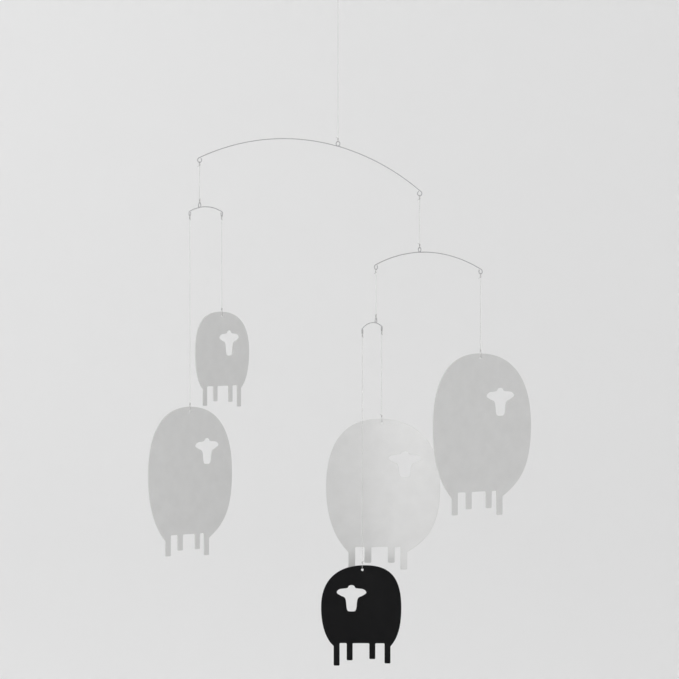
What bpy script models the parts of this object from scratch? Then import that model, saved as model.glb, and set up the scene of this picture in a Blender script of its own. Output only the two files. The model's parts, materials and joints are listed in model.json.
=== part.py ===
"""A hanging mobile: five flat sheep on threads under four arched wire arms.

Everything hangs from one ring. Each arm is a springy wire with an eye at both
ends and a raised loop at the point where its two loads balance. Each sheep is
cut from one thin sheet, with its head cut out of the sheet, and hangs by a
small hole above its centre of weight. Lengths are in metres, +Z is up, and the
origin is where a hook would carry the ring.
"""

import math
from dataclasses import dataclass

import bmesh
import bpy
import numpy as np
from mathutils import Matrix, Vector

# Stock that the pieces are made of
SHEET = 0.0010
WIRE = 0.0008
RING_WIRE = 0.0012
THREAD = 0.0004
SHEET_DENSITY = 1200.0
WIRE_DENSITY = 7850.0

# Room left between pieces that touch in the real mobile, and between a wire's own strands
CLEARANCE = 0.0003
STRAND_GAP = 0.00045

# Bends, holes and knots
RING_RADIUS = 0.0060
EYE_RADIUS = 0.0022
LOOP_RADIUS = 0.0022
LOOP_EASE = 0.014
HOLE_ROOM = 0.0011
HOLE_TO_EDGE = 0.0030
KNOT_RISE = 0.0032

# How far an eye is bent round: its end stops short of the wire it comes back to
EYE_TURN = math.tau - math.acos(1 - (WIRE + STRAND_GAP) / EYE_RADIUS)

# Heights of the figures, feet to back
LARGE_HEIGHT = 0.1460
LEFT_HEIGHT = 0.1410
MIDDLE_HEIGHT = 0.1410
LAMB_HEIGHT = 0.0920

# How far the ends of each sheet bow out of its plane
LARGE_BOW = -0.0010
LEFT_BOW = 0.0012
MIDDLE_BOW = -0.0026
LEFT_LAMB_BOW = 0.0006
BLACK_LAMB_BOW = -0.0006

# Arms: straight length from wire end to wire end, rise of the arc over it,
# and how far the right end is set lower than the left
TOP_SPAN, TOP_ARCH, TOP_TILT = 0.2420, 0.0315, 0.0330
LEFT_SPAN, LEFT_ARCH, LEFT_TILT = 0.0860, 0.0045, 0.0000
RIGHT_SPAN, RIGHT_ARCH, RIGHT_TILT = 0.1480, 0.0135, 0.0030
LOWER_SPAN, LOWER_ARCH, LOWER_TILT = 0.0880, 0.0045, 0.0000

# Threads, from what they hang on to what they hold
TOP_DROP = 0.1440
LEFT_ARM_DROP = 0.0380
RIGHT_ARM_DROP = 0.0470
LOWER_ARM_DROP = 0.0450
LARGE_DROP = 0.0740
LEFT_SHEEP_DROP = 0.1820
LEFT_LAMB_DROP = 0.0945
MIDDLE_DROP = 0.0850
BLACK_LAMB_DROP = 0.2145

# Headings in degrees: how each arm and sheep stands about its thread at rest
TOP_HEADING = -31.0
LEFT_HEADING = 70.5
RIGHT_HEADING = -51.5
LOWER_HEADING = 77.0
LARGE_HEADING = 34.5
LEFT_SHEEP_HEADING = 44.0
LEFT_LAMB_HEADING = 46.5
MIDDLE_HEADING = 0.0
BLACK_LAMB_HEADING = 176.0

# How finely the round stretches are cut
CURVE_STEPS = 7
HEAD_STEPS = 2
ARC_STEPS = 14
LEAST_ARC_STEPS = 4
TURN_STEPS = 10
HOLE_STEPS = 10
KNOT_STEPS = 5
STRAIGHT_STEPS = 4
RING_STEPS = 24
BOW_COLUMNS = 6
CORNER_CUT = 0.2
TUBE_RESOLUTION = 2
TUBE_SIDES = 2 * (TUBE_RESOLUTION + 2)

# How near two points or two planes are for the sheet's faces to count as one
SAME_PLACE = 1e-6
SAME_PLANE = 1e-4


@dataclass(frozen=True)
class Breed:
    """A sheep's outline. The first share is of its length, the second of its height."""

    length: float
    widest: float
    crown: float
    back: tuple
    flanks: tuple
    flank_foot: float
    belly: float
    legs: tuple
    leg_width: float
    head_at: tuple
    ear_span: float
    head_height: float


ADULT = Breed(
    length=0.755,
    widest=0.55,
    crown=0.465,
    back=((0.0, 0.88), (0.20, 1.0), (0.78, 1.0), (1.0, 0.86)),
    flanks=((1.0, 0.30), (0.90, 0.20), (0.09, 0.20), (0.0, 0.32)),
    flank_foot=0.115,
    belly=0.150,
    legs=((0.225, 0.012), (0.367, 0.045), (0.572, 0.045), (0.682, 0.0)),
    leg_width=0.060,
    head_at=(0.69, 0.784),
    ear_span=0.215,
    head_height=0.172,
)
LAMB = Breed(
    length=0.797,
    widest=0.58,
    crown=0.45,
    back=((0.0, 0.90), (0.16, 1.0), (0.76, 1.0), (1.0, 0.88)),
    flanks=((1.0, 0.40), (0.94, 0.26), (0.05, 0.27), (0.0, 0.38)),
    flank_foot=0.195,
    belly=0.225,
    legs=((0.172, 0.025), (0.361, 0.068), (0.643, 0.054), (0.806, 0.0)),
    leg_width=0.074,
    head_at=(0.62, 0.802),
    ear_span=0.293,
    head_height=0.262,
)

# Half of the head from chin to crown: shares of the ear span and the head's height
HEAD_HALF = (
    (0.12, 0.02),
    (0.165, 0.14),
    (0.19, 0.40),
    (0.24, 0.53),
    (0.37, 0.60),
    (0.50, 0.71),
    (0.41, 0.84),
    (0.15, 0.885),
    (0.09, 0.97),
)


def clear_scene():
    for thing in list(bpy.data.objects):
        bpy.data.objects.remove(thing, do_unlink=True)


def material(name, colour, roughness, metallic=0.0):
    made = bpy.data.materials.new(name)
    made.use_nodes = True
    shader = made.node_tree.nodes["Principled BSDF"]
    shader.inputs["Base Color"].default_value = (*colour, 1.0)
    shader.inputs["Roughness"].default_value = roughness
    shader.inputs["Metallic"].default_value = metallic
    return made


def link(name, data, surface=None):
    thing = bpy.data.objects.new(name, data)
    bpy.context.scene.collection.objects.link(thing)
    if surface is not None:
        data.materials.append(surface)
    return thing


def turning_point(name, parent, place, heading):
    """An empty on the axis about which everything below it turns."""
    point = link(name, None)
    point.parent = parent
    point.location = place
    point.rotation_euler.z = math.radians(heading)
    return point


def reach_round(thickness):
    """From the middle of a wire or sheet to the middle of the thread that goes round it."""
    return thickness / 2 + CLEARANCE + THREAD / 2


def bezier(a, b, c, d, steps=CURVE_STEPS):
    """Points of a cubic curve from a up to, but not including, d."""
    t = np.linspace(0, 1, steps, endpoint=False)[:, None]
    a, b, c, d = (np.array(p, float) for p in (a, b, c, d))
    return (1 - t) ** 3 * a + 3 * (1 - t) ** 2 * t * b + 3 * (1 - t) * t**2 * c + t**3 * d


def smooth_ring(points, steps):
    """Points of a smooth closed curve that passes through the given ones."""
    points = np.array(points, float)
    made = []
    for i in range(len(points)):
        before, start, end, after = (points[(i + k) % len(points)] for k in (-1, 0, 1, 2))
        made.append(bezier(start, start + (end - before) / 6, end - (after - start) / 6, end, steps))
    return np.vstack(made)


def chamfered(points, size):
    """The same open outline with each inner corner cut off."""
    points = np.array(points, float)
    made = [points[0]]
    for before, corner, after in zip(points, points[1:], points[2:]):
        for other in (before, after):
            away = other - corner
            made.append(corner + away / np.linalg.norm(away) * size)
    made.append(points[-1])
    return np.array(made)


def leg_outline(breed, length, height):
    """The underside from the foreleg's outer edge to the hind leg's, feet and belly."""
    half = breed.leg_width / 2
    points = [(breed.legs[-1][0] + half, breed.flank_foot)]
    for number, (middle, foot) in reversed(list(enumerate(breed.legs))):
        points += [(middle + half, foot), (middle - half, foot)]
        if number:
            points += [(middle - half, breed.belly), (breed.legs[number - 1][0] + half, breed.belly)]
    points.append((breed.legs[0][0] - half, breed.flank_foot))
    scaled = np.array(points) * (length, height)
    return chamfered(scaled, breed.leg_width * length * CORNER_CUT)


def body_outline(breed, height):
    """The sheep's outer edge, tail at the left, in its own plane."""
    length = breed.length * height
    size = np.array((length, height))
    rear, front = (0.0, breed.widest), (1.0, breed.widest)
    crown = (breed.crown, 1.0)
    underside = leg_outline(breed, length, height)
    parts = [
        bezier(rear, breed.back[0], breed.back[1], crown) * size,
        bezier(crown, breed.back[2], breed.back[3], front) * size,
        bezier(front, breed.flanks[0], breed.flanks[1], underside[0] / size) * size,
        underside[:-1],
        bezier(underside[-1] / size, breed.flanks[2], breed.flanks[3], rear) * size,
    ]
    return np.vstack(parts)


def head_outline(breed, height):
    """The head that is cut out of the sheet: muzzle, drooping ears and a small crown."""
    half = np.array(HEAD_HALF)
    mirrored = half[::-1] * (-1, 1)
    shares = np.vstack([[(0.0, 0.0)], half, [(0.0, 1.0)], mirrored])
    size = np.array((breed.ear_span, breed.head_height)) * height
    top = np.array(breed.head_at) * (breed.length * height, height)
    return smooth_ring(shares * size, HEAD_STEPS) + top - (0.0, size[1])


def area_and_middle(points):
    """A closed outline's area, and the place of its middle along its length."""
    x, z = points.T
    x2, z2 = np.roll(points, -1, axis=0).T
    cross = x * z2 - x2 * z
    area = cross.sum() / 2
    return abs(area), ((x + x2) * cross).sum() / (6 * area)


@dataclass(frozen=True)
class Cutting:
    """A sheep's outlines about the point that its thread holds, and its weight."""

    outer: np.ndarray
    head: np.ndarray
    hole: np.ndarray
    weight: float


def cutting(breed, height):
    """Sets the thread's hole above the middle of the weight, so that the sheep hangs level."""
    outer, head = body_outline(breed, height), head_outline(breed, height)
    body_area, body_middle = area_and_middle(outer)
    head_area, head_middle = area_and_middle(head)
    area = body_area - head_area
    middle = (body_area * body_middle - head_area * head_middle) / area
    back = outer[: 2 * CURVE_STEPS]
    rim = np.interp(middle, back[:, 0], back[:, 1]) - HOLE_TO_EDGE
    turn = np.arange(HOLE_STEPS) * math.tau / HOLE_STEPS
    radius = (reach_round(SHEET) + THREAD / 2 + HOLE_ROOM) / 2
    hole = radius * np.column_stack([np.sin(turn), np.cos(turn) - 1])
    held = np.array((middle, rim))
    return Cutting(outer - held, head - held, hole, area * SHEET * SHEET_DENSITY)


def sheet_mesh(name, cut, bow):
    """Fills the outlines, parts the face into columns and bows it along its length."""
    made = bmesh.new()
    edges = []
    for outline in (cut.outer, cut.head, cut.hole):
        corners = [made.verts.new((x, 0, z)) for x, z in outline]
        edges += [made.edges.new(pair) for pair in zip(corners, corners[1:] + corners[:1])]
    bmesh.ops.triangle_fill(made, edges=edges, use_beauty=True, normal=(0, -1, 0))
    low, high = cut.outer[:, 0].min(), cut.outer[:, 0].max()
    for x in np.linspace(low, high, BOW_COLUMNS + 1)[1:-1]:
        everything = made.verts[:] + made.edges[:] + made.faces[:]
        cuts = bmesh.ops.bisect_plane(
            made, geom=everything, dist=SAME_PLACE, plane_co=(x, 0, 0), plane_no=(1, 0, 0)
        )
        for edge in cuts["geom_cut"]:
            if isinstance(edge, bmesh.types.BMEdge):
                edge.seam = True
    bmesh.ops.dissolve_limit(
        made, angle_limit=SAME_PLANE, verts=made.verts, edges=made.edges, delimit={"SEAM"}
    )
    for corner in made.verts:
        corner.co.y = bow * (corner.co.x / high) ** 2
    bmesh.ops.recalc_face_normals(made, faces=made.faces)
    mesh = bpy.data.meshes.new(name)
    made.to_mesh(mesh)
    made.free()
    return mesh


def sheep(name, cut, bow, parent, surface):
    """A flat sheep whose sheet reaches to both sides of its middle plane."""
    body = link(name, sheet_mesh(name, cut, bow), surface)
    body.parent = parent
    thickness = body.modifiers.new("sheet", "SOLIDIFY")
    thickness.thickness = SHEET
    thickness.offset = 0.0
    return body


def tube(name, points, diameter, parent, surface):
    """A round wire or thread along the points, with closed ends."""
    line = bpy.data.curves.new(name, "CURVE")
    line.dimensions = "3D"
    line.bevel_depth = diameter / 2
    line.bevel_resolution = TUBE_RESOLUTION
    line.use_fill_caps = True
    spline = line.splines.new("POLY")
    spline.points.add(len(points) - 1)
    for point, place in zip(spline.points, points):
        point.co = (*place, 1.0)
    made = link(name, line, surface)
    made.parent = parent
    return made


def around(centre, start, turn, steps):
    """The point start carried round centre by turn, in steps, all in the arm's plane."""
    offset = np.array(start) - centre
    made = []
    for angle in np.linspace(0, turn, steps + 1):
        c, s = math.cos(angle), math.sin(angle)
        made.append(centre + (c * offset[0] - s * offset[1], s * offset[0] + c * offset[1]))
    return np.array(made)


@dataclass(frozen=True)
class Arc:
    """The arc that an arm's wire is bent to. It leans so that the right end is the lower one."""

    radius: float
    half: float
    lean: float

    def at(self, angle, reach=0.0):
        """The point at that angle from the arc's middle, and reach outside the wire."""
        turned = angle + self.lean
        return (self.radius + reach) * np.stack([np.sin(turned), np.cos(turned)], axis=-1)


@dataclass(frozen=True)
class ArmShape:
    """An arm's wire about its hang point, and where its two eyes carry their threads."""

    line: np.ndarray
    left_eye: np.ndarray
    right_eye: np.ndarray
    weight: float


def wire_weight(arc):
    length = 2 * arc.half * arc.radius + 2 * EYE_TURN * EYE_RADIUS + math.tau * LOOP_RADIUS
    return length * math.pi * WIRE**2 / 4 * WIRE_DENSITY


def balance_angle(arc, left_load, right_load, weight):
    """Where along the arc the loop has to be for both loads and the wire to balance."""
    left, right = (arc.at(side * arc.half, -EYE_RADIUS)[0] for side in (-1, 1))
    wire_middle = (arc.at(-arc.half)[0] + arc.at(arc.half)[0]) / 2
    moment = left_load * left + right_load * right + weight * wire_middle
    middle = moment / (left_load + right_load + weight)
    return math.asin(middle / (arc.radius + LOOP_RADIUS)) - arc.lean


def bent_wire(arc, hang):
    """The wire in its plane, left eye to right eye, and the number of its loop's first point."""
    left_eye, right_eye = (arc.at(side * arc.half, -EYE_RADIUS) for side in (-1, 1))
    left_steps = round(ARC_STEPS * (hang + arc.half) / (2 * arc.half))
    left_steps = max(LEAST_ARC_STEPS, left_steps)
    right_steps = max(LEAST_ARC_STEPS, ARC_STEPS - left_steps)
    stretches = [
        around(left_eye, arc.at(-arc.half), EYE_TURN, TURN_STEPS)[:0:-1],
        arc.at(np.linspace(-arc.half, hang, left_steps, endpoint=False)),
        around(arc.at(hang, LOOP_RADIUS), arc.at(hang), math.tau, TURN_STEPS),
        arc.at(np.linspace(hang, arc.half, right_steps, endpoint=False)[1:]),
        around(right_eye, arc.at(arc.half), -EYE_TURN, TURN_STEPS),
    ]
    return np.vstack(stretches), TURN_STEPS + left_steps


def set_aside(line, loop_start):
    """How far each point stands out of the plane, for the loop's strands to lie side by side."""
    spread = (WIRE + STRAND_GAP) / 2
    loop_end = loop_start + TURN_STEPS
    near = np.clip(1 - np.abs(line[:, 0] - line[loop_start, 0]) / LOOP_EASE, 0, 1)
    side = np.where(np.arange(len(line)) < loop_start, -spread, spread)
    aside = side * near**2 * (3 - 2 * near)
    aside[loop_start : loop_end + 1] = np.linspace(-spread, spread, TURN_STEPS + 1)
    return aside


def arm_shape(span, arch, tilt, left_load, right_load):
    """Bends a wire into an arc with two eyes, and raises its loop where the loads balance."""
    radius = span**2 / (8 * arch) + arch / 2
    arc = Arc(radius, math.asin(span / (2 * radius)), math.asin(tilt / span))
    weight = wire_weight(arc)
    hang = balance_angle(arc, left_load, right_load, weight)
    line, loop_start = bent_wire(arc, hang)
    held = arc.at(hang, LOOP_RADIUS) + (0, LOOP_RADIUS)
    flat = line - held
    eyes = [arc.at(side * arc.half, -EYE_RADIUS) - (0, EYE_RADIUS) - held for side in (-1, 1)]
    placed = np.column_stack([flat[:, 0], set_aside(line, loop_start), flat[:, 1]])
    return ArmShape(placed, *eyes, weight)


def hitch(half_width, rise, knot_width):
    """A thread's end that goes round what holds it, from its tail to the free line.

    It is drawn in a plane: across, and along the thread. Its round lies about the origin.
    """
    turn = np.linspace(math.pi, math.tau, KNOT_STEPS + 1)
    bend = half_width * np.column_stack([np.cos(turn), np.sin(turn)])
    shoulder = rise - KNOT_RISE / 2
    tail = [(-knot_width, rise), (-half_width, shoulder)]
    line = [(half_width, shoulder), (knot_width, rise), (0.0, rise + KNOT_RISE)]
    return np.vstack([tail, bend, line])


def thread_line(drop, upper_half, lower_half, lower_rise, turned):
    """The whole thread about its lower hitch, with its upper one turned by that angle."""
    knot_width = (THREAD + CLEARANCE) / 2
    low = hitch(lower_half, lower_rise, knot_width)
    high = hitch(upper_half, KNOT_RISE, knot_width)[::-1]
    across = np.array((-math.sin(turned), math.cos(turned)))
    low = np.column_stack([np.zeros(len(low)), low[:, 0], low[:, 1]])
    high = np.column_stack([high[:, 0:1] * across, drop - high[:, 1]])
    ends = low[-1, 2], high[0, 2]
    straight = [(0.0, 0.0, z) for z in np.linspace(*ends, STRAIGHT_STEPS + 1)[1:-1]]
    return np.vstack([low, straight, high])


def arm_thread(name, drop, holder, parent, heading, surface):
    """The thread that an arm hangs by. It takes its upper end's turn from the arm above."""
    line = thread_line(
        drop, reach_round(holder), reach_round(WIRE), KNOT_RISE, -math.radians(heading)
    )
    return tube(name, line, THREAD, parent, surface)


def sheep_thread(name, drop, parent, heading, surface):
    """The thread that a sheep hangs by. It goes through the hole and over the back's edge."""
    line = thread_line(
        drop,
        reach_round(WIRE),
        reach_round(SHEET),
        HOLE_TO_EDGE + KNOT_RISE,
        -math.radians(heading),
    )
    return tube(name, line, THREAD, parent, surface)


def hang_ring(surface):
    """The ring that a hook carries, from the inside of its top."""
    centre = Vector((0, 0, RING_WIRE / 2 - RING_RADIUS))
    bpy.ops.mesh.primitive_torus_add(
        major_segments=RING_STEPS,
        minor_segments=TUBE_SIDES,
        major_radius=RING_RADIUS,
        minor_radius=RING_WIRE / 2,
    )
    ring = bpy.context.object
    ring.name = "hang_ring"
    upright = Matrix.Rotation(math.pi / 2, 4, "X")
    ring.data.transform(Matrix.Translation(centre) @ upright)
    ring.data.materials.append(surface)
    ring.data.shade_smooth()
    return ring


def hang_arm(name, shape, drop, holder, parent, place, headings, wire, thread):
    """An arm on its thread. headings are its own and its parent's, in degrees."""
    own, above = headings
    turn = turning_point(f"turn_{name}", parent, (place[0], 0, place[1] - drop), own - above)
    tube(name, shape.line, WIRE, turn, wire)
    arm_thread(f"thread_{name}", drop, holder, turn, own - above, thread)
    return turn


def hang_sheep(name, cut, bow, drop, parent, place, headings, surface, thread):
    """A sheep on its thread. headings are its own and its arm's, in degrees."""
    own, above = headings
    turn = turning_point(f"turn_{name}", parent, (place[0], 0, place[1] - drop), own - above)
    sheep(name, cut, bow, turn, surface)
    sheep_thread(f"thread_{name}", drop, turn, own - above, thread)


def build():
    clear_scene()
    steel = material("spring_steel", (0.42, 0.42, 0.43), 0.35, 1.0)
    nylon = material("clear_thread", (0.80, 0.80, 0.79), 0.35)
    pale = material("pale_sheet", (0.66, 0.66, 0.65), 0.55)
    black = material("black_sheet", (0.012, 0.012, 0.013), 0.55)

    large = cutting(ADULT, LARGE_HEIGHT)
    left = cutting(ADULT, LEFT_HEIGHT)
    middle = cutting(ADULT, MIDDLE_HEIGHT)
    lamb = cutting(LAMB, LAMB_HEIGHT)

    lower_arm = arm_shape(LOWER_SPAN, LOWER_ARCH, LOWER_TILT, lamb.weight, middle.weight)
    lower_load = lamb.weight + middle.weight + lower_arm.weight
    right_arm = arm_shape(RIGHT_SPAN, RIGHT_ARCH, RIGHT_TILT, lower_load, large.weight)
    left_arm = arm_shape(LEFT_SPAN, LEFT_ARCH, LEFT_TILT, left.weight, lamb.weight)
    right_load = lower_load + large.weight + right_arm.weight
    left_load = left.weight + lamb.weight + left_arm.weight
    top_arm = arm_shape(TOP_SPAN, TOP_ARCH, TOP_TILT, left_load, right_load)

    hang_ring(steel)
    ring_foot = (0.0, RING_WIRE / 2 - 2 * RING_RADIUS)
    top = hang_arm(
        "arm_top", top_arm, TOP_DROP, RING_WIRE, None, ring_foot, (TOP_HEADING, 0), steel, nylon
    )
    turns = (LEFT_HEADING, TOP_HEADING)
    place = top_arm.left_eye
    on_left = hang_arm("arm_left", left_arm, LEFT_ARM_DROP, WIRE, top, place, turns, steel, nylon)
    turns = (RIGHT_HEADING, TOP_HEADING)
    place = top_arm.right_eye
    on_right = hang_arm("arm_right", right_arm, RIGHT_ARM_DROP, WIRE, top, place, turns, steel, nylon)
    turns = (LOWER_HEADING, RIGHT_HEADING)
    place = right_arm.left_eye
    low = hang_arm("arm_lower", lower_arm, LOWER_ARM_DROP, WIRE, on_right, place, turns, steel, nylon)

    hung = (
        ("sheep_left", left, LEFT_BOW, LEFT_SHEEP_DROP, on_left, left_arm.left_eye,
         (LEFT_SHEEP_HEADING, LEFT_HEADING), pale),
        ("lamb_left", lamb, LEFT_LAMB_BOW, LEFT_LAMB_DROP, on_left, left_arm.right_eye,
         (LEFT_LAMB_HEADING, LEFT_HEADING), pale),
        ("sheep_large", large, LARGE_BOW, LARGE_DROP, on_right, right_arm.right_eye,
         (LARGE_HEADING, RIGHT_HEADING), pale),
        ("sheep_middle", middle, MIDDLE_BOW, MIDDLE_DROP, low, lower_arm.right_eye,
         (MIDDLE_HEADING, LOWER_HEADING), pale),
        ("lamb_black", lamb, BLACK_LAMB_BOW, BLACK_LAMB_DROP, low, lower_arm.left_eye,
         (BLACK_LAMB_HEADING, LOWER_HEADING), black),
    )
    for name, cut, bow, drop, arm, place, headings, surface in hung:
        hang_sheep(name, cut, bow, drop, arm, place, headings, surface, nylon)
    bpy.context.view_layer.update()


build()
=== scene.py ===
# %% [markdown]
# # A hanging mobile of flat sheep
#
# Five flat sheep hang on nylon threads from four springy wire arms, and every arm balances on the
# thread that holds it. This lesson dresses the imported model of that mobile. The turning points, the
# bodies and the sizes come from the imported model, and the pieces here are made finer than the solids:
# rounded rims on the sheets, smooth wire, and threads with real knots.
#
# The first cell loads the imported model. Nothing made here may leave it.

# %% Load the fixed frame
import json
import math
from dataclasses import dataclass

import bmesh
import bpy
import numpy as np
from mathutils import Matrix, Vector

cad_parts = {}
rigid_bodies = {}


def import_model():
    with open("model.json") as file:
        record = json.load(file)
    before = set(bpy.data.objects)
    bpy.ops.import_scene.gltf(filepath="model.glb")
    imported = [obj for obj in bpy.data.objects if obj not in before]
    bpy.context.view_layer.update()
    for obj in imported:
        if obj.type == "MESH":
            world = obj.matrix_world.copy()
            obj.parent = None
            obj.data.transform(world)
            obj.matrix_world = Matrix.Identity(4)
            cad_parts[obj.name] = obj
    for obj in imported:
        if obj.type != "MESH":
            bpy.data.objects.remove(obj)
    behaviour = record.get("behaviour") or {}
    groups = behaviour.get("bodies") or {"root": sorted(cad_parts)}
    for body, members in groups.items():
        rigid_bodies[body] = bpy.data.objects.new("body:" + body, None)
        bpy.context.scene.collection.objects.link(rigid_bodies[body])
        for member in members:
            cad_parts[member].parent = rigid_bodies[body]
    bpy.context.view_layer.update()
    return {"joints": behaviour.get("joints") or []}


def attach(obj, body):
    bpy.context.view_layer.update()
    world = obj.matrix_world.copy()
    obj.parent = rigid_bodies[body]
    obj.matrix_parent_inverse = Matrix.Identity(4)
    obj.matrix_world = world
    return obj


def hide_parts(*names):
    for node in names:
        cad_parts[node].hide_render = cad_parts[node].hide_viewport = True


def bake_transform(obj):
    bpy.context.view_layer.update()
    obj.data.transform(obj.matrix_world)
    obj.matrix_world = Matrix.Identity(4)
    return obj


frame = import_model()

# %% [markdown]
# ## The camera
#
# The photograph was taken 3.5 m in front of the mobile, with the camera tilted 10.9 degrees down.
# The mobile fills only a small part of that picture. So the camera here stands in the same place and
# looks at the mobile through a longer lens, which gives the same view as an enlarged cut-out.
# Moving the camera closer would be simpler, but it would change the perspective.
#
# Away from its middle a photograph is stretched: by one over the square of the angle's cosine on the
# way outwards, and by one over the cosine across it. A camera that looks straight at the mobile
# doesn't stretch it, so its lens is made longer by a power between the two. Shifting the lens would
# copy the stretch exactly, but it would push the mobile out of every other view.

# %% Where the photograph's camera stood
PHOTO_SIDE = 679.0
PHOTO_FOCAL = 1316.0
PHOTO_TILT = math.radians(10.9)
CAMERA_PLACE = Vector((-0.0414, -3.5, -0.238))

# The square of the photograph that the render shows, in its own pixels
SHOWN_MIDDLE = (355.8, 125.0)
SHOWN_SIDE = 241.0

# The sensor's width in millimetres, and the power between one and two that the stretch is given
SENSOR_WIDTH = 36.0
STRETCH_POWER = 1.6


# %% The direction of a pixel, and the camera
def sight_line(column, row):
    """The way to a pixel. Its length is one over the cosine of the angle from the photograph's middle."""
    ahead = Vector((0, math.cos(PHOTO_TILT), -math.sin(PHOTO_TILT)))
    up = Vector((0, math.sin(PHOTO_TILT), math.cos(PHOTO_TILT)))
    right = Vector((1, 0, 0))
    middle = PHOTO_SIDE / 2
    return ahead + right * (column - middle) / PHOTO_FOCAL - up * (row - middle) / PHOTO_FOCAL


sight = sight_line(*SHOWN_MIDDLE)
stretch = sight.length**STRETCH_POWER
lens = bpy.data.cameras.new("camera")
lens.sensor_width = SENSOR_WIDTH
lens.lens = SENSOR_WIDTH * PHOTO_FOCAL / SHOWN_SIDE * stretch
camera = bpy.data.objects.new("camera", lens)
bpy.context.scene.collection.objects.link(camera)
camera.location = CAMERA_PLACE
camera.rotation_euler = sight.to_track_quat("-Z", "Y").to_euler()
bpy.context.scene.camera = camera
print(f"camera lens {lens.lens:.0f} mm, {stretch - 1:.1%} longer for the stretch")

# %% [markdown]
# ## How the mobile hangs
#
# A mobile is a tree. Each arm and each sheep turns about the thread that it hangs on, so its place is
# one point and one heading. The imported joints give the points. The headings and the lengths of the
# threads are the same choices that the solids were made with, because the joints don't keep them.

# %% Stock sizes, headings and drops
WIRE = 0.0008
RING_WIRE = 0.0012
THREAD = 0.0004
SHEET = 0.0010
HEADINGS = {
    "ring": 0.0,
    "arm_top": -31.0,
    "arm_left": 70.5,
    "arm_right": -51.5,
    "arm_lower": 77.0,
    "sheep_large": 34.5,
    "sheep_left": 44.0,
    "lamb_left": 46.5,
    "sheep_middle": 0.0,
    "lamb_black": 176.0,
}
DROPS = {
    "arm_top": 0.1440,
    "arm_left": 0.0380,
    "arm_right": 0.0470,
    "arm_lower": 0.0450,
    "sheep_large": 0.0740,
    "sheep_left": 0.1820,
    "lamb_left": 0.0945,
    "sheep_middle": 0.0850,
    "lamb_black": 0.2145,
}
joint_of = {joint["child"]: joint for joint in frame["joints"]}
print(len(joint_of), "things turn:", ", ".join(joint_of))


# %% From a piece's own directions to the room's
def along(heading):
    """The level direction in which a piece with that heading runs."""
    turn = math.radians(heading)
    return np.array((math.cos(turn), math.sin(turn), 0.0))


def across(heading):
    """The level direction square to a piece with that heading."""
    return along(heading + 90)


def held_at(name):
    """The point where a thread holds the piece."""
    return np.array(joint_of[name]["pos_m"], float)


def place_on_thread(piece, name):
    """Moves a piece, made about its thread's point, to its place and heading."""
    piece.location = held_at(name)
    piece.rotation_euler.z = math.radians(HEADINGS[name])


# %% [markdown]
# ## Tubes
#
# Wires and threads are both tubes along a line. Blender's curve objects make such tubes by
# themselves, but they can't be bent between two bodies and their surface coordinates are hard to
# control. So one function builds the mesh ring by ring. Each ring is carried on from the last one
# without twist, and the tube's ends are rounded a little, as cut wire and thread are.

# %% A tube along any line
TIP_ROUNDING = ((0.0, 0.60), (0.12, 0.88), (0.35, 1.0))
TUBE_SHARP = math.radians(50)


def with_tips(line, radius):
    """The line with close points at its ends, and the share of the radius at every point."""
    out, shares = [], []
    for tip, beyond in ((line[0], line[1]), (line[-1], line[-2])):
        inward = (beyond - tip) / np.linalg.norm(beyond - tip)
        out.append([tip + inward * radius * step for step, _ in TIP_ROUNDING])
        shares.append([share for _, share in TIP_ROUNDING])
    points = np.vstack([out[0], line[1:-1], out[1][::-1]])
    return points, np.array(shares[0] + [1.0] * (len(line) - 2) + shares[1][::-1])


def ring_directions(points):
    """Two directions square to the line at each point, carried along it without twist."""
    forward = np.gradient(points, axis=0)
    forward /= np.linalg.norm(forward, axis=1)[:, None]
    start = np.eye(3)[np.argmin(np.abs(forward[0]))]
    first = []
    for ahead in forward:
        start = start - ahead * (start @ ahead)
        start = start / np.linalg.norm(start)
        first.append(start)
    first = np.array(first)
    return first, np.cross(forward, first)


def tube_mesh(name, line, diameter, sides):
    """A closed round tube. Its surface coordinates are metres along it and shares of a turn."""
    points, shares = with_tips(np.array(line, float), diameter / 2)
    first, second = ring_directions(points)
    turn = np.arange(sides) * math.tau / sides
    circle = np.cos(turn)[None, :, None] * first[:, None] + np.sin(turn)[None, :, None] * second[:, None]
    rings = points[:, None] + circle * (shares * diameter / 2)[:, None, None]
    last = len(points) - 1
    faces = [
        (i * sides + k, i * sides + (k + 1) % sides, (i + 1) * sides + (k + 1) % sides, (i + 1) * sides + k)
        for i in range(last)
        for k in range(sides)
    ]
    faces += [tuple(range(sides))[::-1], tuple(last * sides + k for k in range(sides))]
    mesh = bpy.data.meshes.new(name)
    mesh.from_pydata(rings.reshape(-1, 3), [], faces)
    distance = np.concatenate([[0], np.cumsum(np.linalg.norm(np.diff(points, axis=0), axis=1))])
    layer = mesh.uv_layers.new(name="metres")
    for face in mesh.polygons:
        columns = [v % sides for v in face.vertices]
        wraps = max(columns) - min(columns) > sides / 2
        for corner, vertex in zip(face.loop_indices, face.vertices):
            column = vertex % sides
            column = sides if wraps and column == 0 and len(columns) == 4 else column
            layer.data[corner].uv = (distance[vertex // sides], column / sides)
    mesh.shade_smooth()
    mesh.set_sharp_from_angle(angle=TUBE_SHARP)
    return mesh


def add_piece(name, mesh):
    piece = bpy.data.objects.new(name, mesh)
    bpy.context.scene.collection.objects.link(piece)
    return piece


# %% [markdown]
# ## Smooth lines
#
# A few well-chosen points are enough for a thread, a leg or a head, if a smooth curve runs through
# them. Each stretch between two points is a cubic curve whose handles point along the line from the
# neighbour before to the neighbour after.


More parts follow.
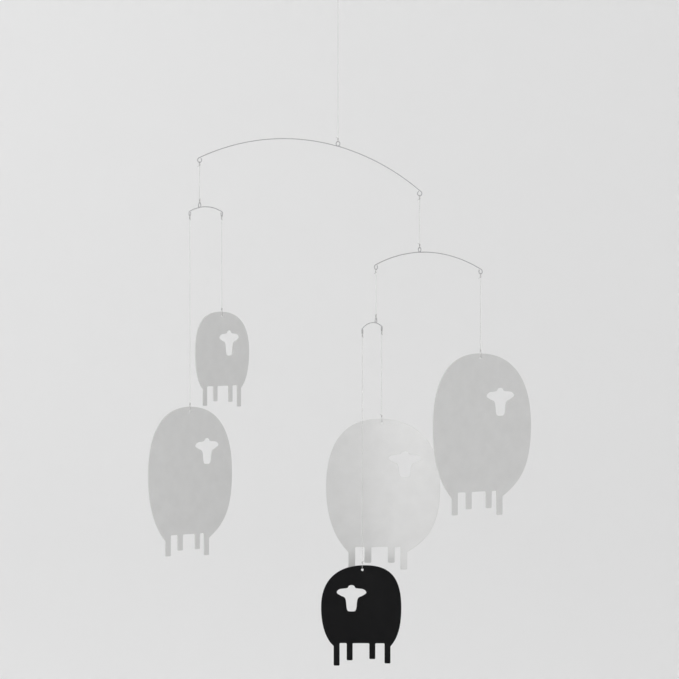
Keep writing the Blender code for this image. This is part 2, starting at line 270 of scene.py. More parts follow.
# %% Curves through chosen points
def cubic(a, b, c, d, steps):
    """Points of a cubic curve from a up to, but not including, d."""
    t = np.linspace(0, 1, steps, endpoint=False)[:, None]
    a, b, c, d = (np.array(p, float) for p in (a, b, c, d))
    return (1 - t) ** 3 * a + 3 * (1 - t) ** 2 * t * b + 3 * (1 - t) * t**2 * c + t**3 * d


def smooth_through(points, steps, closed):
    """Points of a smooth curve that passes through the given ones."""
    points = np.array(points, float)
    count = len(points)
    made = []
    for i in range(count if closed else count - 1):
        near = [(i + k) % count if closed else min(max(i + k, 0), count - 1) for k in (-1, 0, 1, 2)]
        before, start, end, after = points[near]
        made.append(cubic(start, start + (end - before) / 6, end - (after - start) / 6, end, steps))
    if not closed:
        made.append(points[-1:])
    return np.vstack(made)


# %% [markdown]
# ## Threads and their knots
#
# Each thread is one length of nylon. At both ends it goes round what it holds, comes back, and wraps
# four times round itself, and a short tail sticks out. That is the clinch knot that anglers use,
# since nylon slips out of simpler ones. The knot could be a plain bead, but its wraps show from close
# by, so the tube follows the knot's true line.
#
# The upper knot lies at the heading of the arm above and the lower one at that of the piece below. The
# thread itself is built in place and is not attached to either body.

# %% The line of one knot
SNUG = 0.00002
HOLE_SNUG = 0.00006
WRAPS = 4
WRAP_POINTS = 7
WRAP_RADIUS = THREAD + 0.00003
WRAP_PITCH = THREAD + 0.00004
KNOT_LENGTH = WRAPS * WRAP_PITCH
TAIL_REACH = 0.0019
TAIL_RISE = 0.0008
TAIL_TURN = 0.9
TAIL_SHARES = (1.0, 0.6)
NECK = 0.0007
NECK_DIP = 0.0001
GRIP_POINTS = 9
SIDE_POINTS = 4
KNOT_STEPS = 2

# How far the thread stands from the knot's middle at its shoulder and neck, in shares of its grip
SHOULDER_BEFORE = 0.75
SHOULDER_AFTER = 0.70
NECK_AFTER = 0.15


def grip_line(half_width, depth, straight):
    """The thread's turn round what it holds: down one side, under it, and up the other."""
    under = np.linspace(math.pi, math.tau, GRIP_POINTS)
    turn = np.column_stack([half_width * np.cos(under), np.zeros(GRIP_POINTS), depth * np.sin(under)])
    if straight:
        high = np.linspace(straight, 0, SIDE_POINTS, endpoint=False)
        down = np.column_stack([np.full(SIDE_POINTS, -half_width), np.zeros(SIDE_POINTS), high])
        turn = np.vstack([down, turn, (down * (-1, 1, 1))[::-1]])
    return turn


def knot_line(thickness, depth, straight):
    """A knot from its tail to the free thread, about the point that it pulls on."""
    half_width = (thickness + THREAD) / 2 + SNUG
    low = straight + half_width + NECK
    top = low + KNOT_LENGTH
    angle = math.pi + math.tau * WRAPS
    turns = np.linspace(angle, math.pi, WRAPS * WRAP_POINTS + 1)
    rise = low + WRAP_PITCH * (turns - math.pi) / math.tau
    wraps = np.column_stack([WRAP_RADIUS * np.cos(turns), WRAP_RADIUS * np.sin(turns), rise])
    aside = np.array((math.cos(angle + TAIL_TURN), math.sin(angle + TAIL_TURN), 0.0))
    tail = [aside * TAIL_REACH * share + (0, 0, top + TAIL_RISE * share) for share in TAIL_SHARES]
    shoulder = straight + (half_width + NECK) / 2
    before = [(-SHOULDER_BEFORE * half_width, 0, shoulder)]
    after = [
        (SHOULDER_AFTER * half_width, 0, shoulder),
        (NECK_AFTER * half_width, 0, low - NECK_DIP),
        (0, 0, low + WRAP_PITCH),
        (0, 0, top),
    ]
    through = np.vstack([tail, wraps, before, grip_line(half_width, depth, straight), after])
    return smooth_through(through, KNOT_STEPS, closed=False)


# %% Every thread, tied at both ends
STRAIGHT_RINGS = 30
THREAD_SIDES = 10
HOLE_TO_EDGE = 0.0030


def stand_up(knot, heading, point, upward):
    """Places a knot's line: its width across the heading, its length up or down from the point."""
    sideways = np.outer(knot[:, 0], across(heading)) + np.outer(knot[:, 1], along(heading))
    return point + sideways + np.outer(knot[:, 2], (0, 0, upward))


def thread_line(name):
    """The whole line of the thread that holds a piece, from its lower tail to its upper one."""
    parent = joint_of[name]["parent"]
    low = held_at(name)
    high = low + (0, 0, DROPS[name])
    wire_depth = (WIRE + THREAD) / 2 + SNUG
    if name.startswith("arm"):
        lower = knot_line(WIRE, wire_depth, 0.0)
    else:
        lower = knot_line(SHEET, THREAD / 2 + HOLE_SNUG, HOLE_TO_EDGE)
    holder = RING_WIRE if parent == "ring" else WIRE
    upper = knot_line(holder, (holder + THREAD) / 2 + SNUG, 0.0)
    lower = stand_up(lower, HEADINGS[name], low, 1)
    upper = stand_up(upper, HEADINGS[parent], high, -1)[::-1]
    between = np.linspace(lower[-1], upper[0], STRAIGHT_RINGS)[1:-1]
    return np.vstack([lower, between, upper]), lower[-1], upper[0]


threads = []
for name, joint in joint_of.items():
    line, free_low, free_high = thread_line(name)
    thread = add_piece(f"tied_thread_{name}", tube_mesh(f"tied_thread_{name}", line, THREAD, THREAD_SIDES))
    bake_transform(thread)
    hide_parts(f"thread_{name}")
    threads.append(thread)

# %% [markdown]
# ## The arms
#
# An arm is one piece of spring wire. It is bent to an arc, its ends are curled into eyes, and it makes
# one full turn, the raised loop, at the point where its two loads balance. The wire could be a Bezier
# curve shaped by hand, but arcs of circles are what a wire bent round pegs really has. The arc's span,
# rise and tilt are known, and the loop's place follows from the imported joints, since the balance was
# worked out there.

# %% The arc of an arm
EYE_RADIUS = 0.0022
LOOP_RADIUS = 0.0022
LOOP_EASE = 0.014
STRAND_GAP = 0.00045
EYE_TURN = math.tau - math.acos(1 - (WIRE + STRAND_GAP) / EYE_RADIUS)


@dataclass(frozen=True)
class Arm:
    """The straight length between the wire's ends, the arc's rise, the tilt and the two loads."""

    span: float
    rise: float
    tilt: float
    left: str
    right: str

    @property
    def radius(self):
        return self.span**2 / (8 * self.rise) + self.rise / 2

    @property
    def half(self):
        return math.asin(self.span / (2 * self.radius))

    def at(self, angle, reach=0.0):
        """The point at that angle from the arc's middle, and reach outside the wire."""
        turned = angle + math.asin(self.tilt / self.span)
        return (self.radius + reach) * np.stack([np.sin(turned), np.cos(turned)], axis=-1)


ARMS = {
    "arm_top": Arm(0.2420, 0.0315, 0.0330, "arm_left", "arm_right"),
    "arm_left": Arm(0.0860, 0.0045, 0.0000, "sheep_left", "lamb_left"),
    "arm_right": Arm(0.1480, 0.0135, 0.0030, "arm_lower", "sheep_large"),
    "arm_lower": Arm(0.0880, 0.0045, 0.0000, "lamb_black", "sheep_middle"),
}


# %% Where the loop sits
def hang_angle(name, arm):
    """The loop's angle along the arc, from where the arm and its left load hang."""
    eye = held_at(arm.left) + (0, 0, DROPS[arm.left]) - held_at(name)
    eye_centre = np.array((eye @ along(HEADINGS[name]), eye[2] + EYE_RADIUS))
    held = arm.at(-arm.half, -EYE_RADIUS) - eye_centre
    return math.asin(held[0] / (arm.radius + LOOP_RADIUS)) - math.asin(arm.tilt / arm.span)


for name, arm in ARMS.items():
    share = (hang_angle(name, arm) + arm.half) / (2 * arm.half)
    print(f"{name}: its loop is {share:.0%} of the way from {arm.left} to {arm.right}")

# %% The line of the bent wire
ARC_POINTS = 72
LEAST_POINTS = 8
TURN_POINTS = 32
WIRE_SIDES = 14


def around(centre, start, turn, steps):
    """The point start carried round centre by turn."""
    angle = np.linspace(0, turn, steps + 1)[:, None]
    offset = start - centre
    square = np.array((-offset[1], offset[0]))
    return centre + np.cos(angle) * offset + np.sin(angle) * square


def set_aside(line, loop_start):
    """How far each point stands out of the plane, for the loop's strands to lie side by side."""
    spread = (WIRE + STRAND_GAP) / 2
    near = np.clip(1 - np.abs(line[:, 0] - line[loop_start, 0]) / LOOP_EASE, 0, 1)
    side = np.where(np.arange(len(line)) < loop_start, -spread, spread)
    aside = side * near**2 * (3 - 2 * near)
    aside[loop_start : loop_start + TURN_POINTS + 1] = np.linspace(-spread, spread, TURN_POINTS + 1)
    return aside


def wire_line(name, arm):
    """The wire from the left eye's tip to the right one's, about the point that holds it."""
    hang = hang_angle(name, arm)
    left_eye, right_eye = (arm.at(side * arm.half, -EYE_RADIUS) for side in (-1, 1))
    left_points = max(LEAST_POINTS, round(ARC_POINTS * (hang + arm.half) / (2 * arm.half)))
    right_points = max(LEAST_POINTS, ARC_POINTS - left_points)
    stretches = [
        around(left_eye, arm.at(-arm.half), EYE_TURN, TURN_POINTS)[:0:-1],
        arm.at(np.linspace(-arm.half, hang, left_points, endpoint=False)),
        around(arm.at(hang, LOOP_RADIUS), arm.at(hang), math.tau, TURN_POINTS),
        arm.at(np.linspace(hang, arm.half, right_points, endpoint=False)[1:]),
        around(right_eye, arm.at(arm.half), -EYE_TURN, TURN_POINTS),
    ]
    line = np.vstack(stretches)
    aside = set_aside(line, TURN_POINTS + left_points)
    flat = line - arm.at(hang, LOOP_RADIUS) - (0, LOOP_RADIUS)
    return np.column_stack([flat[:, 0], aside, flat[:, 1]])


# %% The four arms
arms = []
for name, arm in ARMS.items():
    line = wire_line(name, arm)
    piece = add_piece(f"bent_{name}", tube_mesh(f"bent_{name}", line, WIRE, WIRE_SIDES))
    place_on_thread(piece, name)
    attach(piece, name)
    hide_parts(name)
    arms.append(piece)

# %% [markdown]
# ## The ring
#
# The ring that the ceiling hook goes through is a short piece of thicker wire, bent round until its
# two cut ends meet. A torus has no such seam, so the ring is a tube along almost a full circle. The
# seam sits at the side, where neither the hook nor the thread can find it.

# %% The ring with its seam
RING_RADIUS = 0.0060
SEAM_GAP = 0.00012
SEAM_AT = math.radians(20)
RING_POINTS = 96
RING_SIDES = 18

gap_angle = SEAM_GAP / RING_RADIUS
turn = np.linspace(SEAM_AT + gap_angle / 2, SEAM_AT + math.tau - gap_angle / 2, RING_POINTS)
ring_middle = RING_WIRE / 2 - RING_RADIUS
circle = [(RING_RADIUS * math.cos(a), 0.0, ring_middle + RING_RADIUS * math.sin(a)) for a in turn]
ring = add_piece("closed_ring", tube_mesh("closed_ring", circle, RING_WIRE, RING_SIDES))
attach(ring, "ring")
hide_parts("hang_ring")
print(f"{ring.name}: {2 * RING_RADIUS * 1000:.0f} mm across the middle of its wire")

# %% [markdown]
# ## The outline of a sheep
#
# Each sheep is stamped out of a thin sheet: a rounded body, four short legs, and a head that is only a
# cut-out. The outline could be drawn as one long list of points. It is easier to read, and to change,
# as a few curves whose handles are shares of the sheep's length and height. The grown sheep share one
# outline and the lambs share another.


# %% The two outlines
@dataclass(frozen=True)
class Breed:
    """A sheep's outline. The first share is of its length, the second of its height."""

    length: float
    widest: float
    crown: float
    back: tuple
    flanks: tuple
    flank_foot: float
    belly: float
    legs: tuple
    leg_width: float
    head_at: tuple
    ear_span: float
    head_height: float


ADULT = Breed(
    length=0.755,
    widest=0.55,
    crown=0.465,
    back=((0.0, 0.88), (0.20, 1.0), (0.78, 1.0), (1.0, 0.86)),
    flanks=((1.0, 0.30), (0.90, 0.20), (0.09, 0.20), (0.0, 0.32)),
    flank_foot=0.115,
    belly=0.150,
    legs=((0.225, 0.012), (0.367, 0.045), (0.572, 0.045), (0.682, 0.0)),
    leg_width=0.060,
    head_at=(0.69, 0.784),
    ear_span=0.215,
    head_height=0.172,
)
LAMB = Breed(
    length=0.797,
    widest=0.58,
    crown=0.45,
    back=((0.0, 0.90), (0.16, 1.0), (0.76, 1.0), (1.0, 0.88)),
    flanks=((1.0, 0.40), (0.94, 0.26), (0.05, 0.27), (0.0, 0.38)),
    flank_foot=0.195,
    belly=0.225,
    legs=((0.172, 0.025), (0.361, 0.068), (0.643, 0.054), (0.806, 0.0)),
    leg_width=0.074,
    head_at=(0.62, 0.802),
    ear_span=0.293,
    head_height=0.262,
)

# Half of the head from chin to crown: shares of the ear span and the head's height
HEAD_HALF = (
    (0.12, 0.02),
    (0.165, 0.14),
    (0.19, 0.40),
    (0.24, 0.53),
    (0.37, 0.60),
    (0.50, 0.71),
    (0.41, 0.84),
    (0.15, 0.885),
    (0.09, 0.97),
)

# %% Body, legs and head as lines
CURVE_POINTS = 28
HEAD_POINTS = 5
CORNER_POINTS = 5
HOLE_POINTS = 28
CORNER_SHARE = 0.2


def rounded(points, size):
    """The same open outline with each inner corner rounded off."""
    points = np.array(points, float)
    made = [points[:1]]
    for before, corner, after in zip(points, points[1:], points[2:]):
        start, end = (corner + (p - corner) / np.linalg.norm(p - corner) * size for p in (before, after))
        made.append(cubic(start, (start + 2 * corner) / 3, (end + 2 * corner) / 3, end, CORNER_POINTS))
        made.append(end[None])
    return np.vstack(made + [points[-1:]])


def underside(breed, length, height):
    """The line from the foreleg's outer edge to the hind leg's, round the feet and the belly."""
    half = breed.leg_width / 2
    points = [(breed.legs[-1][0] + half, breed.flank_foot)]
    for number, (middle, foot) in reversed(list(enumerate(breed.legs))):
        points += [(middle + half, foot), (middle - half, foot)]
        if number:
            points += [(middle - half, breed.belly), (breed.legs[number - 1][0] + half, breed.belly)]
    points.append((breed.legs[0][0] - half, breed.flank_foot))
    return rounded(np.array(points) * (length, height), breed.leg_width * length * CORNER_SHARE)


def body_line(breed, height):
    """The sheep's outer edge, tail at the left."""
    length = breed.length * height
    size = np.array((length, height))
    rear, front = (0.0, breed.widest), (1.0, breed.widest)
    crown = (breed.crown, 1.0)
    below = underside(breed, length, height)
    parts = [
        cubic(rear, breed.back[0], breed.back[1], crown, CURVE_POINTS) * size,
        cubic(crown, breed.back[2], breed.back[3], front, CURVE_POINTS) * size,
        cubic(front, breed.flanks[0], breed.flanks[1], below[0] / size, CURVE_POINTS) * size,
        below[:-1],
        cubic(below[-1] / size, breed.flanks[2], breed.flanks[3], rear, CURVE_POINTS) * size,
    ]
    return np.vstack(parts)


def head_line(breed, height):
    """The cut-out head: muzzle, drooping ears and a small crown."""
    half = np.array(HEAD_HALF)
    shares = np.vstack([[(0.0, 0.0)], half, [(0.0, 1.0)], half[::-1] * (-1, 1)])
    size = np.array((breed.ear_span, breed.head_height)) * height
    top = np.array(breed.head_at) * (breed.length * height, height)
    return smooth_through(shares * size, HEAD_POINTS, closed=True) + top - (0.0, size[1])


# %% [markdown]
# ## Where the thread holds a sheep
#
# A sheet hangs level if its hole is straight above the middle of its weight, so the hole's place is
# worked out from the areas of the body and of the cut-out head. Every line is then moved so that the
# hole's upper rim is at zero, where the thread pulls.

# %% The hole above the middle of the weight
CLEARANCE = 0.0003
HOLE_ROOM = 0.0011
hole_radius = (SHEET / 2 + CLEARANCE + THREAD + HOLE_ROOM) / 2


def area_and_middle(points):
    """A closed line's signed area, and the place of its middle along its length."""
    x, z = points.T
    x2, z2 = np.roll(points, -1, axis=0).T
    crossed = x * z2 - x2 * z
    area = crossed.sum() / 2
    return area, ((x + x2) * crossed).sum() / (6 * area)


def cut_lines(breed, height):
    """The outer edge, the head and the hole, about the hole's upper rim."""
    outer, head = body_line(breed, height), head_line(breed, height)
    (body_area, body_middle), (head_area, head_middle) = area_and_middle(outer), area_and_middle(head)
    body_area, head_area = abs(body_area), abs(head_area)
    middle = (body_area * body_middle - head_area * head_middle) / (body_area - head_area)
    back = outer[: 2 * CURVE_POINTS]
    rim = np.interp(middle, back[:, 0], back[:, 1]) - HOLE_TO_EDGE
    turn = np.arange(HOLE_POINTS) * math.tau / HOLE_POINTS
    hole = hole_radius * np.column_stack([np.sin(turn), np.cos(turn) - 1])
    return outer - (middle, rim), head - (middle, rim), hole


# %% [markdown]
# ## The sheet
#
# A stamped sheet has rims that are a little round at both faces. A Bevel modifier could round them,
# but it leaves poor triangles where a rim curves. So each line is drawn eight times, moved inwards and
# through the thickness along a rounded profile, and the copies are joined with quads. The two faces are
# filled, and the whole sheet is then sliced into narrow columns, so that it can bow like real card.

# %% The rounded rim
RIM_ROUND = 0.00018
RIM_STEPS = 3
SAME_PLACE = 1e-6


def rim_profile():
    """How far inwards and through the thickness each copy of a line lies, front to back."""
    turn = np.linspace(0, math.pi / 2, RIM_STEPS + 1)
    inward = RIM_ROUND * (1 - np.sin(turn))
    depth = RIM_ROUND * (1 - np.cos(turn)) - SHEET / 2
    front = np.column_stack([inward, depth])
    return np.vstack([front, (front * (1, -1))[::-1]])


def inward_directions(line):
    """At each point of a closed line, the direction into the sheet, longer at sharp corners."""
    edges = np.roll(line, -1, axis=0) - line
    edges /= np.linalg.norm(edges, axis=1)[:, None]
    normals = np.column_stack([-edges[:, 1], edges[:, 0]])
    both = normals + np.roll(normals, 1, axis=0)
    return both / (1 + (normals * np.roll(normals, 1, axis=0)).sum(axis=1))[:, None]


def facing_in(line, is_hole):
    """The line in the direction that keeps the sheet on its left."""
    area, _ = area_and_middle(line)
    return line if (area > 0) != is_hole else line[::-1]


# %% One closed sheet
def rim_faces(made, layer, line):
    """Builds the rim of one line and returns its front and back loops of edges."""
    directions = inward_directions(line)
    profile = rim_profile()
    rings = [
        [made.verts.new((x, depth, z)) for x, z in line + directions * inward]
        for inward, depth in profile
    ]
    count = len(line)
    distance = np.concatenate([[0], np.cumsum(np.linalg.norm(np.roll(line, -1, axis=0) - line, axis=1))])
    for k, (ring, after) in enumerate(zip(rings, rings[1:])):
        for i in range(count):
            j = (i + 1) % count
            face = made.faces.new((ring[i], ring[j], after[j], after[i]))
            face.material_index = 1
            depths = (profile[k, 1], profile[k, 1], profile[k + 1, 1], profile[k + 1, 1])
            ends = (distance[i], distance[i + 1], distance[i + 1], distance[i])
            for corner, end, depth in zip(face.loops, ends, depths):
                corner[layer].uv = (end, depth)
    return [
        [made.edges.get((ring[i], ring[(i + 1) % count])) for i in range(count)]
        for ring in (rings[0], rings[-1])
    ]


def sheet_mesh(name, lines, bow, columns):
    """A closed sheet with rounded rims, bowed along its length."""
    made = bmesh.new()
    layer = made.loops.layers.uv.new("metres")
    loops = [rim_faces(made, layer, facing_in(line, number > 0)) for number, line in enumerate(lines)]
    for side in (0, 1):
        edges = [edge for loop in loops for edge in loop[side]]
        filled = bmesh.ops.triangle_fill(made, edges=edges, use_beauty=True, normal=(0, -1, 0))
        for face in filled["geom"]:
            if isinstance(face, bmesh.types.BMFace):
                face.material_index = 0
                for corner in face.loops:
                    corner[layer].uv = corner.vert.co.xz
    low, high = lines[0][:, 0].min(), lines[0][:, 0].max()
    for x in np.linspace(low, high, columns + 1)[1:-1]:
        everything = made.verts[:] + made.edges[:] + made.faces[:]
        bmesh.ops.bisect_plane(
            made, geom=everything, dist=SAME_PLACE, plane_co=(x, 0, 0), plane_no=(1, 0, 0)
        )
    for corner in made.verts:
        corner.co.y += bow * (corner.co.x / high) ** 2
    bmesh.ops.recalc_face_normals(made, faces=made.faces)
    mesh = bpy.data.meshes.new(name)
    made.to_mesh(mesh)
    made.free()
    mesh.shade_smooth()
    return mesh


# %% The five sheep
@dataclass(frozen=True)
class Sheep:
    """A sheep's outline, its height, how far its ends bow out of its plane, and its slot."""

    breed: Breed
    height: float
    bow: float
    slot: str


FLOCK = {
    "sheep_large": Sheep(ADULT, 0.1460, -0.0010, "pale_sheet"),
    "sheep_left": Sheep(ADULT, 0.1410, 0.0012, "pale_sheet"),
    "sheep_middle": Sheep(ADULT, 0.1410, -0.0026, "pale_sheet"),
    "lamb_left": Sheep(LAMB, 0.0920, 0.0006, "pale_sheet"),
    "lamb_black": Sheep(LAMB, 0.0920, -0.0006, "black_sheet"),
}
BOW_COLUMNS = 28

flock = {}
for name, sheep in FLOCK.items():
    lines = cut_lines(sheep.breed, sheep.height)
    piece = add_piece(f"cut_{name}", sheet_mesh(f"cut_{name}", lines, sheep.bow, BOW_COLUMNS))
    weighted = piece.modifiers.new("flat faces", "WEIGHTED_NORMAL")
    weighted.keep_sharp = True
    place_on_thread(piece, name)
    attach(piece, name)
    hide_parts(name)
    flock[name] = piece
    print(f"{piece.name}: {sheep.height * 1000:.0f} mm high, {len(piece.data.polygons)} faces")

# %% [markdown]
# ## Shader groups
#
# Card, steel and nylon all need a fine, uneven surface, and card and steel both carry faint marks from
# handling. Such an effect is built once as a node group, and every material places the group with its
# own values. A group here only puts out masks, values between 0 and 1, and the material decides what
# they do.


# %% Helpers for node groups and materials
def new_group(name, inputs, outputs):
    """An empty shader node group with named values in and out, and its two end nodes."""
    group = bpy.data.node_groups.new(name, "ShaderNodeTree")
    for label, value in inputs.items():
        socket = group.interface.new_socket(name=label, in_out="INPUT", socket_type="NodeSocketFloat")
        socket.default_value = value
    for label in outputs:
        group.interface.new_socket(name=label, in_out="OUTPUT", socket_type="NodeSocketFloat")
    return group, group.nodes.new("NodeGroupInput"), group.nodes.new("NodeGroupOutput")


def add_node(tree, kind, **values):
    """A new node. A value sets the input of its name if there is one, or else the node's setting."""
    made = tree.nodes.new(kind)
    for name, value in values.items():
        if name in made.inputs:
            made.inputs[name].default_value = value
        else:
            setattr(made, name, value)
    return made


def maths(tree, operation, a, b):
    """One sum of two links or numbers."""
    made = add_node(tree, "ShaderNodeMath", operation=operation)
    for socket, value in zip(made.inputs, (a, b)):
        if isinstance(value, bpy.types.NodeSocket):
            tree.links.new(value, socket)
        else:
            socket.default_value = value
    return made.outputs["Value"]


# %% Grain: fine relief and soft mottling
GRAIN_DETAIL = 4.0
MOTTLE_DETAIL = 2.0
GRAIN_ROUGHNESS = 0.6


def make_grain():
    """Grain Size and Mottle Size are in metres. Stretch draws the grain out along the first axis."""
    inputs = {"Grain Size": 0.0005, "Mottle Size": 0.012, "Stretch": 1.0}
    group, start, end = new_group("grain", inputs, ("Grain", "Mottle"))
    place = add_node(group, "ShaderNodeUVMap", uv_map="metres")
    parts = add_node(group, "ShaderNodeSeparateXYZ")
    group.links.new(place.outputs["UV"], parts.inputs["Vector"])
    drawn = add_node(group, "ShaderNodeCombineXYZ")
    shorter = maths(group, "DIVIDE", parts.outputs["X"], start.outputs["Stretch"])
    group.links.new(shorter, drawn.inputs["X"])
    group.links.new(parts.outputs["Y"], drawn.inputs["Y"])
    for size, detail, source, result in (
        ("Grain Size", GRAIN_DETAIL, drawn.outputs["Vector"], "Grain"),
        ("Mottle Size", MOTTLE_DETAIL, place.outputs["UV"], "Mottle"),
    ):
        noise = add_node(group, "ShaderNodeTexNoise", Detail=detail, Roughness=GRAIN_ROUGHNESS)
        group.links.new(source, noise.inputs["Vector"])
        group.links.new(maths(group, "DIVIDE", 1.0, start.outputs[size]), noise.inputs["Scale"])
        group.links.new(noise.outputs["Fac"], end.inputs[result])
    return group


grain = make_grain()
print("group", grain.name, "puts out", [s.name for s in grain.interface.items_tree if s.in_out == "OUTPUT"])


# %% Marks: faint rubs where fingers held the piece
MARK_DETAIL = 5.0
MARK_ROUGHNESS = 0.7
MARK_START = 0.75
MARK_FULL = 0.78


def make_marks():
    """Size is in metres. Amount is the share of the surface that carries a mark."""
    group, start, end = new_group("handling_marks", {"Size": 0.02, "Amount": 0.3}, ("Marks",))
    place = add_node(group, "ShaderNodeTexCoord")
    noise = add_node(group, "ShaderNodeTexNoise", Detail=MARK_DETAIL, Roughness=MARK_ROUGHNESS)
    group.links.new(place.outputs["Object"], noise.inputs["Vector"])
    group.links.new(maths(group, "DIVIDE", 1.0, start.outputs["Size"]), noise.inputs["Scale"])
    limits = add_node(group, "ShaderNodeMapRange", interpolation_type="SMOOTHSTEP")
    group.links.new(noise.outputs["Fac"], limits.inputs["Value"])
    low = maths(group, "SUBTRACT", MARK_START, start.outputs["Amount"])
    group.links.new(low, limits.inputs["From Min"])
    limits.inputs["From Max"].default_value = MARK_FULL
    group.links.new(limits.outputs["Result"], end.inputs["Marks"])
    return group


marks = make_marks()
print("group", marks.name, "is ready")

# %% [markdown]
# ## Materials
#
# Each material is one Principled shader. Values that are the same all over are set on its own sockets,
# and only the masks from the groups are linked: two close tones for the colour, a narrow range for the
# roughness, and the grain as a bump. Card that is cut shows its plies at the rim, so the rim has a
# material of its own.


# %% A finish from two tones, a range of roughness and a relief
@dataclass(frozen=True)
class Finish:
    """Everything that sets one material apart. Sizes are in metres."""

    dark: tuple
    light: tuple
    smooth: float
    rough: float
    relief: float
    grain_size: float
    mottle_size: float
    stretch: float = 1.0
    mottle_share: float = 0.5
    mark_size: float = 0.02
    mark_amount: float = 0.3


def make_finish(name, look, **constants):
    """A material with the grain and marks groups around one Principled shader.

    A Mix node has a pair of inputs for every kind of value, so these are picked by number: 2 and 3
    are its two single values, 6 and 7 its two colours, and output 2 is the mixed colour.
    """
    made = bpy.data.materials.new(name)
    made.use_nodes = True
    tree = made.node_tree
    shader = tree.nodes["Principled BSDF"]
    for socket, value in constants.items():
        shader.inputs[socket.replace("_", " ")].default_value = value
    fine = add_node(tree, "ShaderNodeGroup", node_tree=grain)
    fine.inputs["Grain Size"].default_value = look.grain_size
    fine.inputs["Mottle Size"].default_value = look.mottle_size
    fine.inputs["Stretch"].default_value = look.stretch
    rubbed = add_node(tree, "ShaderNodeGroup", node_tree=marks)
    rubbed.inputs["Size"].default_value = look.mark_size
    rubbed.inputs["Amount"].default_value = look.mark_amount
    tone = add_node(tree, "ShaderNodeMix", data_type="FLOAT")
    tone.inputs["Factor"].default_value = look.mottle_share
    tree.links.new(fine.outputs["Grain"], tone.inputs[2])
    tree.links.new(fine.outputs["Mottle"], tone.inputs[3])
    colour = add_node(tree, "ShaderNodeMix", data_type="RGBA")
    colour.inputs[6].default_value = (*look.dark, 1.0)
    colour.inputs[7].default_value = (*look.light, 1.0)
    tree.links.new(tone.outputs[0], colour.inputs["Factor"])
    tree.links.new(colour.outputs[2], shader.inputs["Base Color"])
    sheen = add_node(tree, "ShaderNodeMapRange")
    sheen.inputs["To Min"].default_value = look.rough
    sheen.inputs["To Max"].default_value = look.smooth
    tree.links.new(rubbed.outputs["Marks"], sheen.inputs["Value"])
    tree.links.new(sheen.outputs["Result"], shader.inputs["Roughness"])
    bump = add_node(tree, "ShaderNodeBump", Distance=look.relief, Strength=1.0)
    tree.links.new(fine.outputs["Grain"], bump.inputs["Height"])
    tree.links.new(bump.outputs["Normal"], shader.inputs["Normal"])
    return made


# %% [markdown]
# ### Pale and black card
#
# The sheep are cut from smooth, stiff card with a satin surface. Close up it has a faint fibre and
# cloudy tones of a few per cent, and the surface is a little smoother where it was handled. Its cut rim
# is rougher and shows thin plies, which are grain drawn out along the rim.

# %% Card and its rims
pale_card = make_finish(
    "pale_card",
    Finish(
        dark=(0.49, 0.49, 0.485),
        light=(0.73, 0.73, 0.725),
        smooth=0.29,
        rough=0.33,
        relief=0.000016,
        grain_size=0.0005,
        mottle_size=0.014,
        mottle_share=0.3,
    ),
    IOR=1.6,
)
pale_rim = make_finish(
    "pale_card_rim",
    Finish(
        dark=(0.56, 0.56, 0.55),
        light=(0.78, 0.78, 0.77),
        smooth=0.70,
        rough=0.82,
        relief=0.00001,
        grain_size=0.00011,
        mottle_size=0.004,
        stretch=12.0,
        mottle_share=0.3,
    ),
    IOR=1.45,
)
black_card = make_finish(
    "black_card",
    Finish(
        dark=(0.001, 0.001, 0.0015),
        light=(0.010, 0.010, 0.0105),
        smooth=0.46,
        rough=0.62,
        relief=0.000016,
        grain_size=0.0005,
        mottle_size=0.014,
        mottle_share=0.3,
    ),
    IOR=1.46,
    Specular_IOR_Level=0.1,
)
black_rim = make_finish(
    "black_card_rim",
    Finish(
        dark=(0.010, 0.010, 0.011),
        light=(0.045, 0.045, 0.045),
        smooth=0.72,
        rough=0.85,
        relief=0.00001,
        grain_size=0.00011,
        mottle_size=0.004,
        stretch=12.0,
        mottle_share=0.3,
    ),
    IOR=1.45,
)
for name, sheep in FLOCK.items():
    for card in (black_card, black_rim) if sheep.slot == "black_sheet" else (pale_card, pale_rim):
        flock[name].data.materials.append(card)
print("sheep are", pale_card.name, "or", black_card.name)

# %% [markdown]
# ### Spring steel and nylon
#
# Spring wire is drawn through a die, which leaves fine lines along it. The grain group's stretch gives
# those lines. Nylon thread lets light through, so it almost vanishes in front of anything pale.

# %% Wire and thread
steel = make_finish(
    "drawn_spring_steel",
    Finish(
        dark=(0.38, 0.38, 0.39),
        light=(0.54, 0.54, 0.55),
        smooth=0.26,
        rough=0.40,
        relief=0.000002,
        grain_size=0.04,
        mottle_size=0.02,
        stretch=0.05,
        mottle_share=0.3,
        mark_size=0.01,
    ),
    Metallic=1.0,
)
nylon = make_finish(
    "clear_nylon",
    Finish(
        dark=(0.80, 0.80, 0.79),
        light=(0.90, 0.90, 0.89),
        smooth=0.12,
        rough=0.22,
        relief=0.000001,
        grain_size=0.003,
        mottle_size=0.01,
        mark_size=0.005,
    ),
    IOR=1.53,
    Transmission_Weight=0.55,
)
for piece in [*arms, ring]:
    piece.data.materials.append(steel)
for thread in threads:
    thread.data.materials.append(nylon)
print(len(arms) + 1, "pieces of", steel.name, "and", len(threads), "of", nylon.name)

# %% [markdown]
# ## The room
#
# The mobile hangs high above a plain pale floor, in front of a plain wall. A flat wall would cut off
# the views from behind, so the floor turns up into a round wall on all sides, like a studio's cove.
# It is one profile spun about the vertical.

# %% Floor and wall in one piece
FLOOR_LEVEL = -2.6
ROOM_RADIUS = 7.0
COVE_RADIUS = 1.5
WALL_TOP = 3.0
COVE_POINTS = 16
ROOM_SIDES = 96
ROOM_MERGE = 1e-5
PAINT = (0.83, 0.83, 0.83, 1.0)
PAINT_ROUGHNESS = 0.9


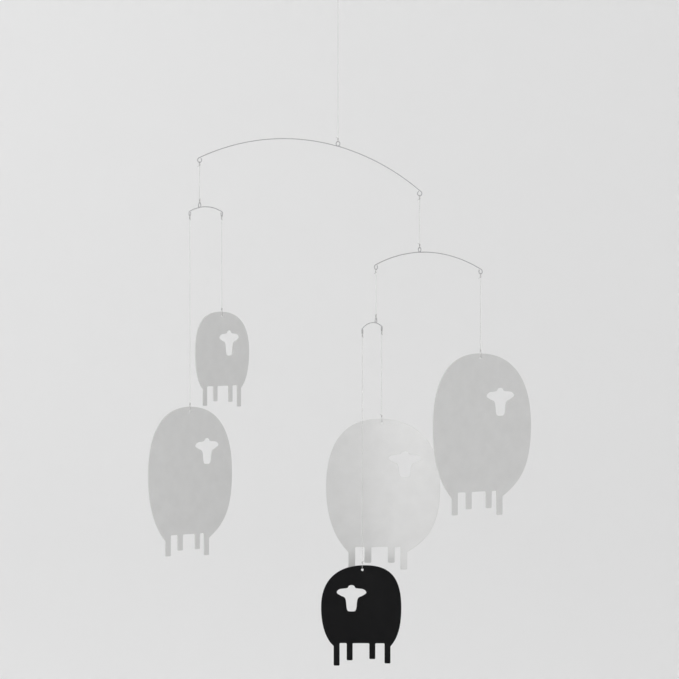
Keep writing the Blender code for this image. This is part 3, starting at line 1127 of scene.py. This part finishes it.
def room_mesh():
    """The floor, the cove and the wall, spun from one profile."""
    bend = np.linspace(0, math.pi / 2, COVE_POINTS)
    cove = [
        (ROOM_RADIUS - COVE_RADIUS * (1 - math.sin(a)), FLOOR_LEVEL + COVE_RADIUS * (1 - math.cos(a)))
        for a in bend
    ]
    made = bmesh.new()
    corners = [made.verts.new((x, 0, z)) for x, z in [(0.0, FLOOR_LEVEL), *cove, (ROOM_RADIUS, WALL_TOP)]]
    edges = [made.edges.new(pair) for pair in zip(corners, corners[1:])]
    bmesh.ops.spin(
        made, geom=corners + edges, axis=(0, 0, 1), cent=(0, 0, 0), angle=math.tau, steps=ROOM_SIDES,
        use_merge=True,
    )
    bmesh.ops.remove_doubles(made, verts=made.verts, dist=ROOM_MERGE)
    mesh = bpy.data.meshes.new("studio")
    made.to_mesh(mesh)
    made.free()
    mesh.shade_smooth()
    return mesh


paint = bpy.data.materials.new("wall_paint")
paint.use_nodes = True
paint.node_tree.nodes["Principled BSDF"].inputs["Base Color"].default_value = PAINT
paint.node_tree.nodes["Principled BSDF"].inputs["Roughness"].default_value = PAINT_ROUGHNESS
studio = add_piece("studio", room_mesh())
studio.data.materials.append(paint)
print(f"the floor is {-FLOOR_LEVEL:.1f} m below the hook")

# %% [markdown]
# ## The light
#
# In the photograph the sheep that is face on is very pale, and those turned to the right are darker.
# So most of the light is even: it is the sky over the open room, which also comes back from the
# walls. A soft key stands just left of the camera, where the face-on sheep mirrors it. The key could
# stand to the side, but then one sheep would throw its shadow on another. A weak fill comes from the
# right, and one lamp washes the wall behind, most of all at its left.

# %% Sky and lamps
@dataclass(frozen=True)
class Lamp:
    """A soft rectangular lamp: its place, what it points at, its size and its power in watts."""

    place: tuple
    target: tuple
    size: tuple
    power: float


SKY = 0.95
LAMPS = {
    "key": Lamp((-0.20, -3.5, -0.50), (0.0, 0.0, -0.45), (0.35, 0.9), 23.0),
    "fill": Lamp((3.6, 0.6, 0.8), (0.0, 0.0, -0.35), (2.4, 2.4), 4.0),
    "wall wash": Lamp((-3.3, 3.6, 1.2), (-1.8, 7.0, 0.0), (1.6, 1.6), 36.0),
}

world = bpy.data.worlds.new("sky")
world.use_nodes = True
world.node_tree.nodes["Background"].inputs["Color"].default_value = (1.0, 1.0, 1.0, 1.0)
world.node_tree.nodes["Background"].inputs["Strength"].default_value = SKY
bpy.context.scene.world = world

for name, lamp in LAMPS.items():
    light = bpy.data.lights.new(name, "AREA")
    light.shape = "RECTANGLE"
    light.size, light.size_y = lamp.size
    light.energy = lamp.power
    holder = bpy.data.objects.new(name, light)
    bpy.context.scene.collection.objects.link(holder)
    holder.location = lamp.place
    aim = Vector(lamp.target) - Vector(lamp.place)
    holder.rotation_euler = aim.to_track_quat("-Z", "Y").to_euler()
    holder.visible_camera = False
bpy.context.scene.view_settings.view_transform = "Standard"
print("lamps:", ", ".join(LAMPS))

# %% [markdown]
# ## Sizes, and the end
# The last line brings the places of all pieces up to date. The box of the finished pieces has to stay
# within that of the solids. Both are written down, and the last line checks every piece and its body.

# %% Finish
bpy.context.view_layer.update()
